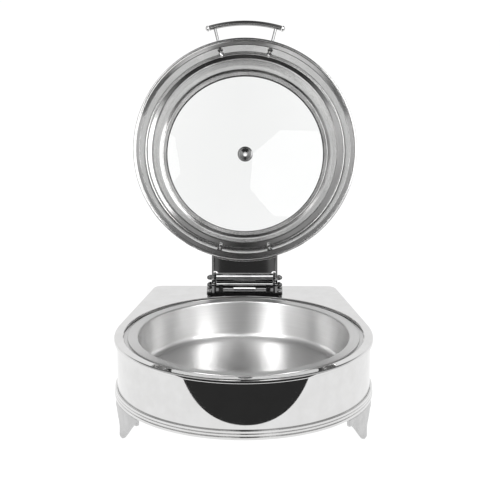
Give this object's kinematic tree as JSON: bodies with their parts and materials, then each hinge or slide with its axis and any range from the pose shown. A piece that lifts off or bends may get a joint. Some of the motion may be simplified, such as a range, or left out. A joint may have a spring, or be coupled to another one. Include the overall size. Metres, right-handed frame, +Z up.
{
  "type": "chafing dish food warmer",
  "caption": "Round steel chafing dish on cast feet, with lift-out water and food pans and a hinged domed lid with a glass window, shown open.",
  "frame": {"origin": "on the ground, under the middle of the open dish's bounding box", "axes": "+Z up, front of the dish faces -Y, +X to the viewer's right"},
  "size_m": [0.4296, 0.6263, 0.61],
  "materials": {
    "mirror_steel": "mirror polished stainless steel",
    "satin_steel": "satin drawn stainless steel",
    "cast_steel": "fine satin casting",
    "dark_steel": "turned, darker",
    "screw_steel": "turned",
    "spring_steel": "oiled wire",
    "glass": "clear tempered glass",
    "rubber": "matt silicone"
  },
  "bodies": {
    "base": {"base_band": "mirror_steel", "deck": "mirror_steel", "floor_sheet": "satin_steel", "foot_front_left": "cast_steel", "foot_front_right": "cast_steel", "foot_rear_left": "cast_steel", "foot_rear_right": "cast_steel", "foot_screw_front_left_1": "screw_steel", "foot_screw_front_left_2": "screw_steel", "foot_screw_front_right_1": "screw_steel", "foot_screw_front_right_2": "screw_steel", "foot_screw_rear_left_1": "screw_steel", "foot_screw_rear_left_2": "screw_steel", "foot_screw_rear_right_1": "screw_steel", "foot_screw_rear_right_2": "screw_steel", "hinge_backing_plate": "satin_steel", "hinge_base": "mirror_steel", "hinge_screw_front_left": "screw_steel", "hinge_screw_front_right": "screw_steel", "hinge_screw_rear_left": "screw_steel", "hinge_screw_rear_right": "screw_steel", "roller_pin": "mirror_steel", "side_wall": "mirror_steel", "stop_rod": "mirror_steel", "stop_rod_nut_left": "dark_steel", "stop_rod_nut_right": "dark_steel", "stop_rod_tube": "mirror_steel", "torsion_spring": "spring_steel"},
    "lid": {"axle_nut_left": "dark_steel", "axle_nut_right": "dark_steel", "bracket_bolt_left": "screw_steel", "bracket_bolt_right": "screw_steel", "bracket_nut_left": "mirror_steel", "bracket_nut_right": "mirror_steel", "grip_end_left": "mirror_steel", "grip_end_right": "mirror_steel", "handle_grip": "mirror_steel", "handle_nut_left": "mirror_steel", "handle_nut_right": "mirror_steel", "handle_post_left": "mirror_steel", "handle_post_right": "mirror_steel", "hinge_axle": "mirror_steel", "hinge_washer_left": "screw_steel", "hinge_washer_right": "screw_steel", "lid_bracket": "mirror_steel", "lid_shell": "mirror_steel", "lid_window": "glass", "steam_vent": "mirror_steel", "vent_nut": "dark_steel", "window_gasket": "rubber", "window_ring": "mirror_steel"},
    "water_pan": {"water_pan": "satin_steel"},
    "food_pan": {"food_pan": "satin_steel"},
    "hinge_tube": {"hinge_tube": "mirror_steel"},
    "roller": {"roller": "mirror_steel"}
  },
  "joints": [
    {"name": "lid_hinge", "type": "hinge", "parent": "base", "child": "lid", "pos_m": [0, 0.1296, 0.1762], "axis": [-1, 0, 0], "range_deg": [-110.6, 0]},
    {"name": "water_pan_lift", "type": "slide", "parent": "base", "child": "water_pan", "axis": [0, 0, 1], "range_m": [0, 0.15]},
    {"name": "food_pan_lift", "type": "slide", "parent": "water_pan", "child": "food_pan", "axis": [0, 0, 1], "range_m": [0, 0.12]},
    {"name": "hinge_tube_spin", "type": "hinge", "parent": "base", "child": "hinge_tube", "pos_m": [0, 0.1296, 0.1762], "axis": [1, 0, 0], "continuous": true},
    {"name": "roller_spin", "type": "hinge", "parent": "base", "child": "roller", "pos_m": [0, 0.1173, 0.1593], "axis": [1, 0, 0], "continuous": true}
  ]
}
